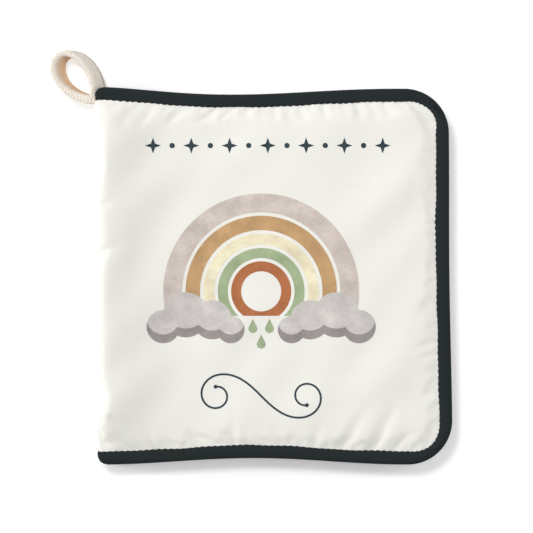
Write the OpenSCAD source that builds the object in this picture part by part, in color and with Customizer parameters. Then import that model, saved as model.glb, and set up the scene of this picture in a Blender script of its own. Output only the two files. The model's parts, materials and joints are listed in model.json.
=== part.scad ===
// A small padded cloth book for a baby, lying closed on its back cover.
// X runs from the spine to the fore edge, Y from the tail to the head, Z up from the table.
// The origin is the centre of the back cover's resting face. All sizes are in millimetres.

/* [Cover outline] */
// Width of the closed book, from the spine's outer face to the fore edge
cover_w = 160; // [130:1:210]
// Height of the spine, from the tail edge to the head edge
cover_h = 170; // [140:1:230]
// Radius of the two corners away from the spine
corner_r = 20; // [17:0.5:30]
// How far the head edge dips between its two ends
head_dip = 3.6; // [0:0.1:6]
// How far the tail edge rises between its two ends
tail_rise = 3.2; // [0:0.1:6]
// How far the fore edge draws in between its two corners
fore_dip = 0.8; // [0:0.1:4]
// How far the fore edge's tail end stands out past its head end
fore_skew = 1.5; // [0:0.1:4]

/* [Quilting] */
// Thickness of the outer cloth
cloth_t = 0.4; // [0.3:0.05:0.8]
// Thickness of the lining
lining_t = 0.3; // [0.2:0.05:0.6]
// Thickness of the wadding where the binding squeezes it
edge_wadding_t = 1.1; // [0.8:0.1:2]
// Width of the slope from the binding up to the flat middle of a cover
slope_w = 9; // [5:0.5:10.5]
// How far the front cover's outer face swells past its edge
front_swell_out = 3; // [1:0.1:5]
// How far the front cover's inner face swells past its edge
front_swell_in = 0.6; // [0.2:0.1:3]
// How far the back cover's outer face swells past its edge
back_swell_out = 1.2; // [0.8:0.1:3]
// How far the back cover's inner face swells past its edge
back_swell_in = 2.2; // [0.6:0.1:4]
// Depth of the gathers in the slopes beside the binding, as a share of the swell
gather_depth = 0.3; // [0:0.05:0.5]

/* [Binding] */
// Width of the binding tape that shows on each face
binding_w = 6; // [4:0.5:6.5]
// Thickness of the binding tape
binding_t = 0.6; // [0.4:0.05:1]

/* [Pages] */
// Number of cloth leaves between the covers
leaf_count = 4; // [2:1:6]
// Thickness of one padded leaf
leaf_t = 2; // [1.4:0.1:3.5]
// Air between two leaves
leaf_gap = 0.3; // [0.2:0.05:0.8]
// How far the leaves stay inside the covers' edges
leaf_inset = 4; // [2:0.5:6]
// How far the air between two leaves reaches in from their edges
leaf_gap_depth = 6; // [3:0.5:8]

/* [Spine] */
// Clearance where a cover turns on the spine, and between the covers and the leaves
turn_gap = 0.3; // [0.2:0.05:0.6]
// Length of one stitch of the row down the spine
stitch_l = 3.5; // [2:0.5:6]
// Space between two stitches
stitch_gap = 1.5; // [1:0.5:3]
// Thickness of the sewing thread
thread_t = 0.4; // [0.2:0.05:0.6]

/* [Hanging loop] */
// Width of the cotton tape
tape_w = 10; // [6:0.5:10]
// Thickness of the cotton tape
tape_t = 2.7; // [1:0.1:3]
// Length of the loop from the spine to its far end
loop_l = 24.5; // [20:0.5:45]
// Half of the loop's width at its widest
loop_half_w = 9; // [7.5:0.5:14]
// Direction in which the loop points, turned from the fore edge
loop_angle = 129; // [120:1:140]
// Lean of the tape from upright
loop_lean = 26.5; // [15:0.5:35]
// How far below the head edge the loop is sewn on
loop_drop = 5.5; // [3:0.5:10]

/* [Print] */
// Thickness of the printed layer
print_t = 0.12; // [0.1:0.02:0.3]
// Outer radius of the printed arch
arch_r = 44; // [36:1:46]
// Widths of the arch's five bands, from the outermost in
arch_bands = [8.5, 6.5, 5, 4.5, 4.5];
// Bare cloth between two bands
arch_gap = 1.5; // [0.8:0.1:2]
// Place of the arch's centre, from the cover's middle
arch_centre = [-6, -7];
// Place of the row of stars and dots, from the cover's middle
garland_centre = [-3, 58.5];
// Number of stars and dots in the row
garland_count = 13; // [5:2:15]
// Space between two of them
garland_pitch = 8.6; // [8.4:0.1:9]
// Radius of a star, to its points
star_r = 3.6; // [2:0.1:4]
// Radius of a dot
dot_r = 1.2; // [0.6:0.1:2]
// Place of the scroll below the arch, from the cover's middle
scroll_centre = [-6, -54];
// Distance between the centres of the scroll's two curls
scroll_span = 40; // [25:1:44]
// Width of the scroll's line
scroll_line_w = 0.9; // [0.6:0.1:1.4]

/* [Hidden] */
$fn = 64;

cloth_white = [0.95, 0.95, 0.93];
wadding_white = [0.97, 0.97, 0.97];
lining_white = [0.93, 0.93, 0.91];
page_white = [0.96, 0.96, 0.94];
binding_dark = [0.15, 0.18, 0.19];
cotton_cream = [0.93, 0.88, 0.81];
ink_navy = [0.20, 0.26, 0.29];
ink_grey = [0.80, 0.76, 0.74];
ink_dark_grey = [0.60, 0.57, 0.56];
ink_tan = [0.76, 0.62, 0.46];
ink_cream = [0.98, 0.94, 0.86];
ink_sage = [0.64, 0.72, 0.56];
ink_rust = [0.71, 0.44, 0.28];

// Thickness of the quilt's squeezed edge, and half of the bound edge's thickness
edge_t = cloth_t + edge_wadding_t + lining_t;
bound_half_t = edge_t / 2 + binding_t;

// The places that the outline is drawn from
spine_x = -cover_w / 2;
fore_x = cover_w / 2;
half_h = cover_h / 2;
hinge_x = spine_x + bound_half_t;
head_arc_x = fore_x - fore_skew - corner_r;
tail_arc_x = fore_x - corner_r;
arc_y = half_h - corner_r;
edge_steps = 16;
leaf_edge_steps = 6;
arc_steps = 6;
slope_steps = 4;
// Where a cover's flat middle begins, measured in from the bound edges and from the spine
flat_inset = binding_w + slope_w;
spine_slope_start = bound_half_t + 0.5;

// The heights of the stack, up from the table
back_z = edge_t / 2 + back_swell_out;
back_inner_z = back_z + edge_t / 2 + back_swell_in;
pages_z = back_inner_z + turn_gap;
pages_t = leaf_count * leaf_t + (leaf_count - 1) * leaf_gap;
front_inner_z = pages_z + pages_t + turn_gap;
front_z = front_inner_z + edge_t / 2 + front_swell_in;
front_outer_z = front_z + edge_t / 2 + front_swell_out;
spine_mid_z = (back_z + front_z) / 2;
// The spine stays below the front hinge and above the back hinge
spine_top_z = front_z - bound_half_t - turn_gap;
spine_bottom_z = back_z + bound_half_t + turn_gap;
spine_inner_x = hinge_x + edge_t / 2;
first_station_x = spine_x + flat_inset + 1;

// Share of a swell or dip, from 0 at both ends to 1 in the middle
function bow(t) = pow(sin(180 * t), 2);

// The head and tail edges at a place along X, and the fore edge at a share of its run from the head
function head_y(x) = half_h - head_dip * bow((x - hinge_x) / (head_arc_x - hinge_x));
function tail_y(x) = -half_h + tail_rise * bow((x - hinge_x) / (tail_arc_x - hinge_x));
function fore_edge_x(t) = fore_x - fore_skew * (1 - t) - fore_dip * bow(t);

function blend(a, b, t) = a + (b - a) * t;

// The stations along the head and the tail: one at the spine side, then evenly up to the corner
function station_x(k, steps, spine_side, arc_x) =
    k == 0 ? spine_side : blend(first_station_x, arc_x, (k - 1) / (steps - 1));

// The cover's outline, clockwise from the spine's head, moved in by inset, and by spine_inset at the spine.
// The head and the tail of its spine side are moved in by tuck more.
function outline(inset, spine_inset, steps = edge_steps, tuck = 0) =
    let (left = spine_x + spine_inset, r = corner_r - inset)
    concat(
        [for (k = [0:steps])
            let (x = station_x(k, steps, left, head_arc_x))
            [x, head_y(x) - inset - (k == 0 ? tuck : 0)]],
        [for (k = [1:arc_steps])
            let (a = 90 - 90 * k / arc_steps)
            [head_arc_x + r * cos(a), arc_y + r * sin(a)]],
        [for (k = [1:steps - 1])
            let (t = k / steps)
            [fore_edge_x(t) - inset, blend(arc_y, -arc_y, t)]],
        [for (k = [0:arc_steps - 1])
            let (a = -90 * k / arc_steps)
            [tail_arc_x + r * cos(a), -arc_y + r * sin(a)]],
        [for (k = [steps:-1:0])
            let (x = station_x(k, steps, left, tail_arc_x))
            [x, tail_y(x) + inset + (k == 0 ? tuck : 0)]]
    );

// A closed solid through a list of rings, from its lower cap to its upper one.
// Each is [inset, spine_inset, height, gather], and its gather is added at every second point.
module ring_solid(rings, steps = edge_steps, tuck = 0) {
    n = len(outline(0, 0, steps));
    points = [for (r = rings)
        let (path = outline(r[0], r[1], steps, tuck))
        for (i = [0:n - 1]) [path[i][0], path[i][1], r[2] + r[3] * (i % 2)]];
    sides = [for (k = [0:len(rings) - 2]) for (i = [0:n - 1])
        let (
            a = k * n + i,
            b = k * n + (i + 1) % n,
            c = b + n,
            d = a + n,
            inwards = rings[k + 1][0] > rings[k][0]
        )
        each (inwards ? [[a, b, c], [a, c, d]] : [[a, b, d], [b, c, d]])];
    lower = [for (i = [n - 1:-1:0]) i];
    upper = [for (i = [0:n - 1]) (len(rings) - 1) * n + i];
    polyhedron(points, concat([lower], sides, [upper]), convexity = 4);
}

// The quilt's round fold along the hinge: how far it reaches past the hinge line at a height
fold_profile = [for (a = [-90:30:90]) edge_t / 2 * [sin(a), cos(a)]];

function fold_ring(height) = [binding_t, bound_half_t - lookup(height, fold_profile), height, 0];

function fold_rings(from, to) = [for (p = fold_profile) if (p[0] > from && p[0] < to) fold_ring(p[0])];

// Half of the quilt's section, from its edge in to the flat middle: level in the binding, then rising
function slope_rings(height, swell) = concat(
    [fold_ring(height), [binding_w, spine_slope_start, height, 0]],
    [for (k = [1:slope_steps])
        let (t = k / slope_steps)
        [
            binding_w + slope_w * t,
            blend(spine_slope_start, flat_inset, t),
            height + swell * sin(90 * t),
            -swell * gather_depth * sin(180 * t)
        ]]
);

function reversed(list) = [for (i = [len(list) - 1:-1:0]) list[i]];

// A cover's layers, with their middle plane at z = 0 and the outer face up
cloth_underside = edge_t / 2 - cloth_t;
lining_top = -edge_t / 2 + lining_t;

// One layer of the quilt between two heights at its edge, each with its own swell in the middle
module quilt_layer(from, swell_from, to, swell_to) {
    ring_solid(concat(
        reversed(slope_rings(from, swell_from)),
        fold_rings(from, to),
        slope_rings(to, swell_to)
    ));
}

module cover_cloth(swell) {
    color(cloth_white)
        quilt_layer(cloth_underside, swell, edge_t / 2, swell);
}

module cover_wadding(swell_out, swell_in) {
    color(wadding_white)
        quilt_layer(lining_top, -swell_in, cloth_underside, swell_out);
}

module cover_lining(swell) {
    color(lining_white)
        quilt_layer(-edge_t / 2, -swell, lining_top, -swell);
}

// The tape's section as [inset, height], round from its upper edge: folded over the quilt's edge
binding_section = concat(
    [[binding_w, bound_half_t]],
    [for (a = [90:-30:-90]) bound_half_t * [1 - cos(a), sin(a)]],
    [
        [binding_w, -bound_half_t],
        [binding_w, -edge_t / 2],
        [binding_t, -edge_t / 2],
        [binding_t, 0],
        [binding_t, edge_t / 2],
        [binding_w, edge_t / 2]
    ]
);
// The section's points on the middle plane, and those above and below it from the first to the second
fold_outside = 4;
fold_inside = 11;
above_middle = [3, 2, 1, 0, 13, 12];
below_middle = [5, 6, 7, 8, 9, 10];
turn_steps = 6;

// The binding along the head, fore edge and tail of one cover. At both ends it turns round the hinge,
// where the half of the section above the middle plane is swung about the hinge to the half below it.
module cover_binding() {
    m = len(binding_section);
    paths = [for (s = binding_section) outline(s[0], bound_half_t)];
    n = len(paths[0]);
    c = len(above_middle);
    run = [for (i = [0:n - 1]) for (j = [0:m - 1])
        [paths[j][i][0], paths[j][i][1], binding_section[j][1]]];
    turns = [for (side = [1, -1]) for (k = [1:turn_steps - 1]) for (j = above_middle)
        let (inset = binding_section[j][0], r = binding_section[j][1], a = 180 * k / turn_steps)
        [hinge_x - r * sin(a), side * (half_h - inset), r * cos(a)]];
    run_faces = [for (i = [0:n - 2]) for (j = [0:m - 1])
        let (a = i * m + j, b = i * m + (j + 1) % m, c = b + m, d = a + m)
        each [[a, c, b], [a, d, c]]];

    // The points of one swing step at the head end (0) or the tail end (1)
    function swing(end, k) =
        let (
            first = end * (n - 1) * m,
            made = n * m + (end * (turn_steps - 1) + k - 1) * c,
            ring = k == 0 ? [for (j = above_middle) first + j]
                : k == turn_steps ? [for (j = below_middle) first + j]
                : [for (j = [0:c - 1]) made + j]
        )
        concat([first + fold_outside], ring, [first + fold_inside]);

    turn_faces = [for (end = [0, 1]) for (k = [0:turn_steps - 1])
        let (from = swing(end, k), to = swing(end, k + 1))
        for (q = [0:c])
        let (
            near = q < c ? [[from[q], from[q + 1], to[q + 1]]] : [],
            far = q > 0 ? [[from[q], to[q + 1], to[q]]] : []
        )
        each [for (face = concat(near, far)) end == 0 ? reversed(face) : face]];

    color(binding_dark)
        polyhedron(concat(run, turns), concat(run_faces, turn_faces), convexity = 6);
}

module at_front() {
    translate([0, 0, front_z])
        children();
}

module at_back() {
    translate([0, 0, back_z])
        mirror([0, 0, 1])
            children();
}

// One flat layer of the spine, from x_from to x_to
module spine_layer(x_from, x_to, paint) {
    color(paint)
        translate([x_from, -half_h + binding_t, spine_bottom_z])
            cube([x_to - x_from, cover_h - 2 * binding_t, spine_top_z - spine_bottom_z]);
}

spine_cloth_x = hinge_x - edge_t / 2;
spine_wadding_x = spine_cloth_x + cloth_t;
spine_lining_x = spine_inner_x - lining_t;

module spine_binding() {
    color(binding_dark)
        translate([hinge_x, half_h, spine_bottom_z])
            linear_extrude(spine_top_z - spine_bottom_z)
                polygon([for (s = binding_section) [-s[1], -s[0]]]);
}

// The padded leaves, with rounded edges and the air between them, and tucked in between the bound ends
module pages() {
    r = leaf_t / 2;
    spine_inset = spine_inner_x - spine_x;
    edge = [for (a = [-90:30:90]) [leaf_inset + r * (1 - cos(a)), r + r * sin(a)]];
    groove = [leaf_inset + leaf_gap_depth, spine_inset + r];
    rings = [for (k = [0:leaf_count - 1])
        let (floor_z = k * (leaf_t + leaf_gap))
        each concat(
            k > 0 ? [[groove[0], groove[1], floor_z, 0]] : [],
            [for (p = edge) [p[0], spine_inset, floor_z + p[1], 0]],
            k < leaf_count - 1 ? [[groove[0], groove[1], floor_z + leaf_t, 0]] : []
        )];
    color(page_white)
        translate([0, 0, pages_z])
            ring_solid(rings, leaf_edge_steps, binding_w + turn_gap - leaf_inset);
}

// A row of stitches down the middle of the spine, from binding to binding
module spine_stitching() {
    run = cover_h - 2 * (binding_w + loop_drop + stitch_gap);
    pitch = stitch_l + stitch_gap;
    count = floor(run / pitch);
    color(lining_white)
        for (k = [0:count - 1])
            translate([
                spine_cloth_x - thread_t,
                (k - (count - 1) / 2) * pitch - stitch_l / 2,
                spine_mid_z - thread_t
            ])
                cube([thread_t, stitch_l, 2 * thread_t]);
}

// The loop's path seen from above: a drop shape from the spine to its round end and back
function loop_point(a) =
    let (
        along = loop_l * pow(sin(a / 2), 2),
        aside = loop_half_w * sin(a) * sqrt(sin(a / 2))
    )
    [
        along * cos(loop_angle) + aside * sin(loop_angle),
        along * sin(loop_angle) - aside * cos(loop_angle)
    ];

function unit(v) = v / norm(v);

// The tape's section as [across, up]: a flat strip with rounded edges
tape_round = tape_t / 2;
tape_section = [
    for (end = [1, -1]) for (a = [0:45:180])
        [end * tape_round * cos(a), end * (tape_w / 2 - tape_round + tape_round * sin(a))]
];

// Half of the angle left out where the tape's two ends lie side by side
loop_start = 22;
loop_steps = 40;
// The tape's nearer end runs on towards the spine for a little more than it leans
loop_tab = 5;

module loop_band() {
    m = len(tape_section);
    angles = [for (i = [0:loop_steps]) blend(loop_start, 360 - loop_start, i / loop_steps)];
    up = [-sin(loop_lean), 0, cos(loop_lean)];
    // Each station is [place, direction]
    bend = [for (a = angles) [loop_point(a), unit(loop_point(a + 1) - loop_point(a - 1))]];
    stations = concat(bend, [[bend[loop_steps][0] + [loop_tab, 0], [1, 0]]]);
    points = [for (station = stations)
        let (place = station[0], ahead = station[1], side = [-ahead[1], ahead[0], 0])
        for (s = tape_section) [place[0], place[1], 0] + s[0] * side + s[1] * up];
    sides = [for (i = [0:loop_steps]) for (j = [0:m - 1])
        let (a = i * m + j, b = i * m + (j + 1) % m, c = b + m, d = a + m)
        each [[a, c, b], [a, d, c]]];
    first = [for (j = [0:m - 1]) j];
    last = [for (j = [m - 1:-1:0]) (loop_steps + 1) * m + j];
    polyhedron(points, concat([first], sides, [last]), convexity = 6);
}

// The loop stands on the tape's edge, leaning away from the book, and ends flat against the spine
module hanging_loop() {
    color(cotton_cream)
        difference() {
            translate([spine_x, half_h - loop_drop, spine_mid_z])
                loop_band();
            translate([spine_x, 0, spine_mid_z - tape_w])
                cube([cover_w, half_h, 2 * tape_w]);
        }
}

// Printed fields of colour, on the flat middle of the front cover
module printed(paint) {
    color(paint)
        translate([0, 0, front_outer_z])
            linear_extrude(print_t)
                children();
}

function band_outer_r(k) = k == 0 ? arch_r : band_outer_r(k - 1) - arch_bands[k - 1] - arch_gap;

module arch_band(k) {
    r = band_outer_r(k);
    difference() {
        translate(arch_centre)
            intersection() {
                difference() {
                    circle(r);
                    circle(r - arch_bands[k]);
                }
                translate([-r, -arch_r / 4])
                    square([2 * r, 2 * arch_r]);
            }
        clouds();
    }
}

// One cloud of round puffs on a flat foot, drawn as shares of the arch's radius
cloud_puffs = [[-0.33, -0.02, 0.17], [-0.1, 0.1, 0.23], [0.17, 0.05, 0.2], [0.36, -0.05, 0.14]];
cloud_foot = -0.19;

module cloud() {
    intersection() {
        for (puff = cloud_puffs)
            translate([puff[0], puff[1]] * arch_r)
                circle(puff[2] * arch_r);
        translate([-arch_r, cloud_foot * arch_r])
            square([2 * arch_r, arch_r]);
    }
}

module clouds() {
    for (side = [-1, 1])
        translate(arch_centre + [side * (arch_r - arch_r * 0.33), -arch_r * 0.34])
            mirror([side > 0 ? 1 : 0, 0])
                cloud();
}

// The darker underside of each cloud
module cloud_shade() {
    difference() {
        clouds();
        translate([0, arch_r * 0.09])
            clouds();
    }
}

module drop_shape(r) {
    circle(r);
    polygon([for (a = [30, 150]) r * [cos(a), sin(a)], [0, 2.2 * r]]);
}

module drops() {
    places = [[-0.085, -0.38], [0, -0.54], [0.085, -0.38]];
    for (place = places)
        translate(arch_centre + place * arch_r)
            drop_shape(arch_r * 0.045);
}

module star(r) {
    points = 4;
    polygon([for (k = [0:2 * points - 1])
        (k % 2 == 0 ? r : r * 0.36) * [cos(180 * k / points), sin(180 * k / points)]]);
}

module garland() {
    for (k = [0:garland_count - 1])
        translate(garland_centre + [(k - (garland_count - 1) / 2) * garland_pitch, 0])
            if (k % 2 == 0)
                star(star_r);
            else
                circle(dot_r);
}

// Half of a scroll whose bend grows evenly with its length, from the middle out to its curl
scroll_turns_at = 2.15;
scroll_steps = 60;
scroll_ds = scroll_turns_at / scroll_steps;
scroll_scale = scroll_span / sqrt(2);

function scroll_heading(s) = 90 * s * s - 45;

scroll_half = [for (
    i = 0, p = [0, 0];
    i <= scroll_steps;
    a = scroll_heading((i + 0.5) * scroll_ds),
    p = p + scroll_ds * [cos(a), sin(a)],
    i = i + 1
) p * scroll_scale];

module scroll_arm() {
    n = len(scroll_half);
    side = [for (i = [0:n - 1])
        let (a = scroll_heading(i * scroll_ds))
        scroll_line_w / 2 * [-sin(a), cos(a)]];
    left = [for (i = [0:n - 1]) scroll_half[i] + side[i]];
    right = [for (i = [n - 1:-1:0]) scroll_half[i] - side[i]];
    polygon(concat(left, right));
    translate(scroll_half[n - 1])
        circle(scroll_line_w);
}

module scroll() {
    translate(scroll_centre) {
        scroll_arm();
        rotate(180)
            scroll_arm();
    }
}

pages();
spine_layer(spine_cloth_x, spine_wadding_x, cloth_white);  // spine_cloth
spine_layer(spine_wadding_x, spine_lining_x, wadding_white);  // spine_wadding
spine_layer(spine_lining_x, spine_inner_x, lining_white);  // spine_lining
spine_binding();  // spine_binding_head
mirror([0, 1, 0]) spine_binding();  // spine_binding_tail
spine_stitching();
hanging_loop();
at_front() cover_cloth(front_swell_out);  // front_cloth
at_front() cover_wadding(front_swell_out, front_swell_in);  // front_wadding
at_front() cover_lining(front_swell_in);  // front_lining
at_front() cover_binding();  // front_binding
printed(ink_grey) arch_band(0);  // print_arch_grey
printed(ink_tan) arch_band(1);  // print_arch_tan
printed(ink_cream) arch_band(2);  // print_arch_cream
printed(ink_sage) arch_band(3);  // print_arch_sage
printed(ink_rust) arch_band(4);  // print_arch_rust
printed(ink_grey) difference() { clouds(); cloud_shade(); }  // print_clouds
printed(ink_dark_grey) cloud_shade();  // print_cloud_shade
printed(ink_sage) drops();  // print_drops
printed(ink_navy) garland();  // print_garland
printed(ink_navy) scroll();  // print_scroll
at_back() cover_cloth(back_swell_out);  // back_cloth
at_back() cover_wadding(back_swell_out, back_swell_in);  // back_wadding
at_back() cover_lining(back_swell_in);  // back_lining
at_back() cover_binding();  // back_binding
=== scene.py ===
"""A padded cloth book lying closed: its fabric, tape, print and stitching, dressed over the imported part.

Lengths are in metres in Blender's data and in millimetres in the tables of shapes below.
"""

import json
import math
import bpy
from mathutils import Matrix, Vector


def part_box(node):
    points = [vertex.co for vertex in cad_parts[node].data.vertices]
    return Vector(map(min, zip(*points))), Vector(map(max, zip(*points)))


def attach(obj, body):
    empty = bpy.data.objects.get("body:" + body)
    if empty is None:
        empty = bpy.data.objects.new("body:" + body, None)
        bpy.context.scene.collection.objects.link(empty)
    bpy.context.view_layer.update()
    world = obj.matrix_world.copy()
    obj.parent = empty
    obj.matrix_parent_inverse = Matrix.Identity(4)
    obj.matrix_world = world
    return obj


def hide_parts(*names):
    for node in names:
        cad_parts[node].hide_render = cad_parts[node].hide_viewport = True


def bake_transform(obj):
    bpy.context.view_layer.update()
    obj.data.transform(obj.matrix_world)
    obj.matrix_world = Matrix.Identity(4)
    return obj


bl_info = {
    "name": "Padded Cloth Book",
    "version": (1, 0, 0),
    "blender": (4, 5, 0),
    "location": "View3D > Sidebar > Cloth Book",
    "description": "Quilted covers, bound edges, soft leaves, printed front and hanging loop of a cloth book",
    "category": "Object",
}

import bmesh
import bpy
import numpy as np
from mathutils import Matrix, Vector
from mathutils.bvhtree import BVHTree
from mathutils.kdtree import KDTree

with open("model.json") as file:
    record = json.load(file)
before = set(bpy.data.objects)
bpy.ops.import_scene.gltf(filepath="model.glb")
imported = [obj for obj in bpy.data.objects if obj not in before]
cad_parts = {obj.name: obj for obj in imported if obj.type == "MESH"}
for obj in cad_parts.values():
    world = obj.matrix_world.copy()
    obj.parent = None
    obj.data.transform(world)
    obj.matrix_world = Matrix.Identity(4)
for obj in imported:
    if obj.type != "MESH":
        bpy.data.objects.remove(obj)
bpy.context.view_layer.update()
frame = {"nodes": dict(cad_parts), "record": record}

MM = 0.001
SPINE, FRONT, BACK = "spine_and_pages", "front_cover", "back_cover"
HINGES = {j["child"]: Vector(j["pos_m"]) for j in frame["record"]["behaviour"]["joints"]}
COVER_LOW, COVER_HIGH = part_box("front_binding")

# The places that every outline is drawn from, in millimetres
SPINE_X = COVER_LOW[0] / MM
FORE_X = COVER_HIGH[0] / MM
HALF_HEIGHT = COVER_HIGH[1] / MM
HINGE_X = HINGES[FRONT].x / MM
FRONT_Z = HINGES[FRONT].z / MM
BACK_Z = HINGES[BACK].z / MM
SEAM_Z = (FRONT_Z + BACK_Z) / 2
SEAM_DROP = FRONT_Z - SEAM_Z

# The quilt where the binding squeezes it, and the bound edge round it
SQUEEZED_HALF = 0.9
TAPE_HALF = 1.5

PHOTO_SPAN = 239.85 * MM
PHOTO_CENTRE = (-3.6 * MM, 4.16 * MM)


def srgb(code):
    """A hex colour as it looks on a screen, as linear red, green, blue and alpha."""
    parts = [int(code[i : i + 2], 16) / 255 for i in (1, 3, 5)]
    linear = [c / 12.92 if c <= 0.04045 else ((c + 0.055) / 1.055) ** 2.4 for c in parts]
    return (*linear, 1.0)


class ClothBookSizes(bpy.types.PropertyGroup):
    """Lengths of the covers, the tape and the leaves."""

    corner_radius: bpy.props.FloatProperty(
        name="Corner radius", description="Radius of the two outer corners",
        default=20 * MM, unit="LENGTH",
    )
    head_dip: bpy.props.FloatProperty(
        name="Head dip", description="How far the head edge dips between its ends",
        default=3.1 * MM, unit="LENGTH",
    )
    head_fall: bpy.props.FloatProperty(
        name="Head fall", description="How much lower the head edge ends at the fore edge than at the spine",
        default=0.8 * MM, unit="LENGTH",
    )
    tail_rise: bpy.props.FloatProperty(
        name="Tail rise", description="How far the tail edge rises between its ends",
        default=2.9 * MM, unit="LENGTH",
    )
    fore_dip: bpy.props.FloatProperty(
        name="Fore dip", description="How far the fore edge draws in between its corners",
        default=0.5 * MM, unit="LENGTH",
    )
    fore_skew: bpy.props.FloatProperty(
        name="Fore skew", description="How far the fore edge's tail end stands out past its head end",
        default=1.5 * MM, unit="LENGTH",
    )
    tape_width: bpy.props.FloatProperty(
        name="Binding width", description="Width of the binding that shows on each face",
        default=6 * MM, unit="LENGTH",
    )
    slope_width: bpy.props.FloatProperty(
        name="Slope width", description="Width of the slope from the binding to the flat middle",
        default=9 * MM, unit="LENGTH",
    )
    stitch: bpy.props.FloatProperty(
        name="Stitch length", description="Length of one stitch along the binding's inner edge",
        default=2.8 * MM, unit="LENGTH",
    )
    cloth_cell: bpy.props.FloatProperty(
        name="Cloth cell", description="Size of one face of the quilts",
        default=1.2 * MM, unit="LENGTH",
    )


class ClothBookColours(bpy.types.PropertyGroup):
    """Colours of the fabrics and the inks."""

    cloth: bpy.props.FloatVectorProperty(
        name="Cover cloth", description="Off-white of the covers", subtype="COLOR",
        size=4, default=srgb("#F4F3EC"),
    )
    lining: bpy.props.FloatVectorProperty(
        name="Lining", description="White of the linings and the leaves", subtype="COLOR",
        size=4, default=srgb("#F1F0EB"),
    )
    binding: bpy.props.FloatVectorProperty(
        name="Binding", description="Dark slate of the binding tape", subtype="COLOR",
        size=4, default=srgb("#1F2628"),
    )
    cotton: bpy.props.FloatVectorProperty(
        name="Cotton tape", description="Natural cotton of the hanging loop", subtype="COLOR",
        size=4, default=srgb("#FFF5E8"),
    )
    thread: bpy.props.FloatVectorProperty(
        name="Thread", description="Off-white sewing thread", subtype="COLOR",
        size=4, default=srgb("#E9E7E0"),
    )


def sizes():
    return bpy.context.scene.cloth_book_sizes


def colours():
    return bpy.context.scene.cloth_book_colours


# Outline of the covers


def bow(share):
    """Share of a dip, from 0 at both ends to 1 in the middle."""
    return np.sin(np.pi * share) ** 2


def bound_edge(step):
    """The bound edge from the hinge at the head round to the hinge at the tail, in even steps:
    its points and its directions inwards, in millimetres."""
    s = sizes()
    radius = s.corner_radius / MM
    skew = s.fore_skew / MM
    fall = s.head_fall / MM
    head_end = FORE_X - skew - radius
    tail_end = FORE_X - radius
    arc_y = HALF_HEIGHT - radius
    along = np.linspace(0, 1, 400)
    quarter = np.radians(90 * along)
    head_x = HINGE_X + (head_end - HINGE_X) * along
    # The head edge is lowest a little to the spine's side of its middle
    head_y = HALF_HEIGHT - s.head_dip / MM * bow(along**0.8) - fall * along
    head = np.stack([head_x, head_y], 1)
    upper_y = arc_y - fall + radius * np.cos(quarter)
    upper = np.stack([head_end + radius * np.sin(quarter), upper_y], 1)
    fore_x = FORE_X - skew * (1 - along) - s.fore_dip / MM * bow(along)
    fore = np.stack([fore_x, arc_y - fall - (2 * arc_y - fall) * along], 1)
    lower = np.stack([tail_end + radius * np.cos(quarter), -arc_y - radius * np.sin(quarter)], 1)
    tail_x = tail_end + (HINGE_X - tail_end) * along
    tail = np.stack([tail_x, -HALF_HEIGHT + s.tail_rise / MM * bow(along)], 1)
    path = np.concatenate([head, upper[1:], fore[1:], lower[1:], tail[1:]])
    lengths = np.concatenate([[0], np.cumsum(np.linalg.norm(np.diff(path, axis=0), axis=1))])
    places = np.linspace(0, lengths[-1], max(2, round(lengths[-1] / step)) + 1)
    points = np.stack([np.interp(places, lengths, path[:, i]) for i in (0, 1)], 1)
    ahead = np.gradient(points, axis=0)
    ahead /= np.linalg.norm(ahead, axis=1)[:, None]
    return places, points, np.stack([ahead[:, 1], -ahead[:, 0]], 1)


# How the bound ends draw in as they turn down the spine, at the head and at the tail, in millimetres:
# [inset at the hinge, how far it reaches along the edge, further inset on the spine]
END_ROUND = {1: (0.8, 3.4, 2.4), -1: (0.8, 3.4, 2.3)}


def end_round(end, along, turn):
    """The inset of a bound end at a length from the hinge, or at a turn down the spine in radians."""
    start, reach, further = END_ROUND[end]
    return start * np.maximum(0, 1 - along / reach) ** 2 + further * (1 - np.cos(turn))


# How far the spine's side stands out or draws in from the tail up to the head: [y, x shift], in millimetres
SPINE_SWAY = [(-85, 0.8), (-79, 0.35), (-60, 0.1), (-20, -0.2), (25, -0.75), (60, -0.8), (71, -0.9),
              (77.0, -1.9), (79.6, -0.5), (82, -0.9), (85, -0.8)]


def sway(vertices):
    """Moves the spine's side a little in or out, fading out over the cover, in millimetres."""
    ys, shifts = zip(*SPINE_SWAY)
    near = np.clip((vertices[:, 0] - HINGE_X) / 12, 0, 1)
    moved = vertices.copy()
    moved[:, 0] += np.interp(vertices[:, 1], ys, shifts) * (1 - near) ** 2 * (1 + 2 * near)
    return moved


def tape_reach(inwards):
    """How far the tape reaches in from the edge, in millimetres: round the corners it is pulled narrower."""
    return sizes().tape_width / MM * (1 - 0.44 * np.abs(inwards[..., 0] * inwards[..., 1]))


def edge_places(x, y, turn):
    """For points in plan, the end's turn down the spine among them: how far each is inside the tape's
    inner edge, how far it is inside the bound edge, and its place along that edge."""
    places, points, inwards = bound_edge(0.5)
    reach = tape_reach(inwards)
    tree = KDTree(len(points))
    for i, p in enumerate(points):
        tree.insert((p[0], p[1], 0), i)
    tree.balance()
    depth, place, covered = np.empty(x.size), np.empty(x.size), np.empty(x.size)
    for k, (px, py) in enumerate(zip(x.ravel(), y.ravel())):
        _, i, _ = tree.find((max(px, HINGE_X), py, 0))
        offset = np.array([max(px, HINGE_X), py]) - points[i]
        depth[k] = offset @ inwards[i]
        place[k] = places[i]
        covered[k] = reach[i]
    depth, place, covered = (values.reshape(x.shape) for values in (depth, place, covered))
    for end in (1, -1):
        near_end = np.sign(y) == end
        from_hinge = np.maximum(x - HINGE_X, 0)
        depth = depth - np.where(near_end, end_round(end, from_hinge, turn), 0)
    return depth - covered, depth, place


# Meshes


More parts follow.
